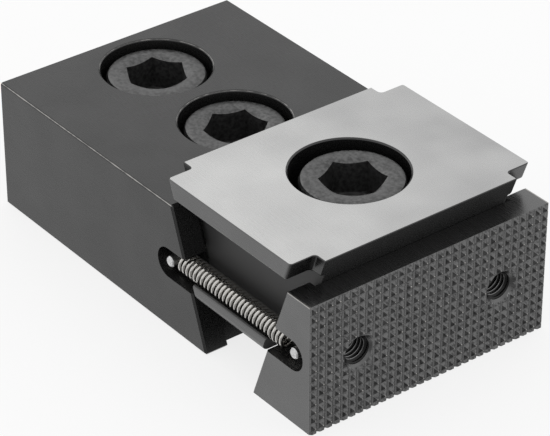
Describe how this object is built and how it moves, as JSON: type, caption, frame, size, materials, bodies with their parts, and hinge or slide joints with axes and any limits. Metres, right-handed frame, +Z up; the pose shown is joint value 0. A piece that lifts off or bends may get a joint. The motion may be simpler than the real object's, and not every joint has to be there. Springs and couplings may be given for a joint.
{
  "type": "wedge clamp",
  "caption": "Low-profile screw-down wedge clamp: bolted body, double wedge and a sprung jaw with a serrated face.",
  "frame": {"origin": "on the base plane, midway between the two mounting screws", "axes": "+X from the fixed body to the jaw, the way the jaw clamps; +Z up, away from the plate"},
  "size_m": [0.0886, 0.05, 0.0432],
  "materials": {
    "blackened_steel": "satin",
    "ground_steel": "fine ground",
    "black_oxide_screw": "satin",
    "spring_steel": "bright drawn",
    "pin_steel": "bright"
  },
  "bodies": {
    "base": {"fixed_body": "blackened_steel", "mounting_screw_rear": "black_oxide_screw", "mounting_screw_front": "black_oxide_screw", "body_pin_left": "pin_steel", "body_pin_right": "pin_steel", "spring_left": "spring_steel", "spring_right": "spring_steel"},
    "washer": {"clamping_washer": "pin_steel"},
    "screw": {"clamping_screw": "black_oxide_screw"},
    "wedge": {"wedge": "ground_steel"},
    "jaw": {"clamping_jaw": "blackened_steel", "jaw_pin_left": "pin_steel", "jaw_pin_right": "pin_steel"}
  },
  "joints": [
    {"name": "wedge_slide", "type": "slide", "parent": "base", "child": "wedge", "axis": [0.342, 0, -0.9397], "range_m": [0, 0.00532]},
    {"name": "washer_slide", "type": "slide", "parent": "wedge", "child": "washer", "axis": [-1, 0, 0], "range_m": [0, 0.00182]},
    {"name": "screw_turn", "type": "hinge", "parent": "washer", "child": "screw", "pos_m": [0.04348, 0, 0.02], "axis": [0, 0, -1], "range_deg": [0, 1028.59]},
    {"name": "jaw_slide", "type": "slide", "parent": "base", "child": "jaw", "axis": [1, 0, 0], "range_m": [0, 0.00364], "deforming": ["spring_left", "spring_right"]}
  ],
  "couplings": [
    {"joint": "washer_slide", "follows": "wedge_slide", "ratio": 0.34202},
    {"joint": "screw_turn", "follows": "wedge_slide", "rad_per_m": 3373.9},
    {"joint": "jaw_slide", "follows": "wedge_slide", "ratio": 0.68404}
  ]
}
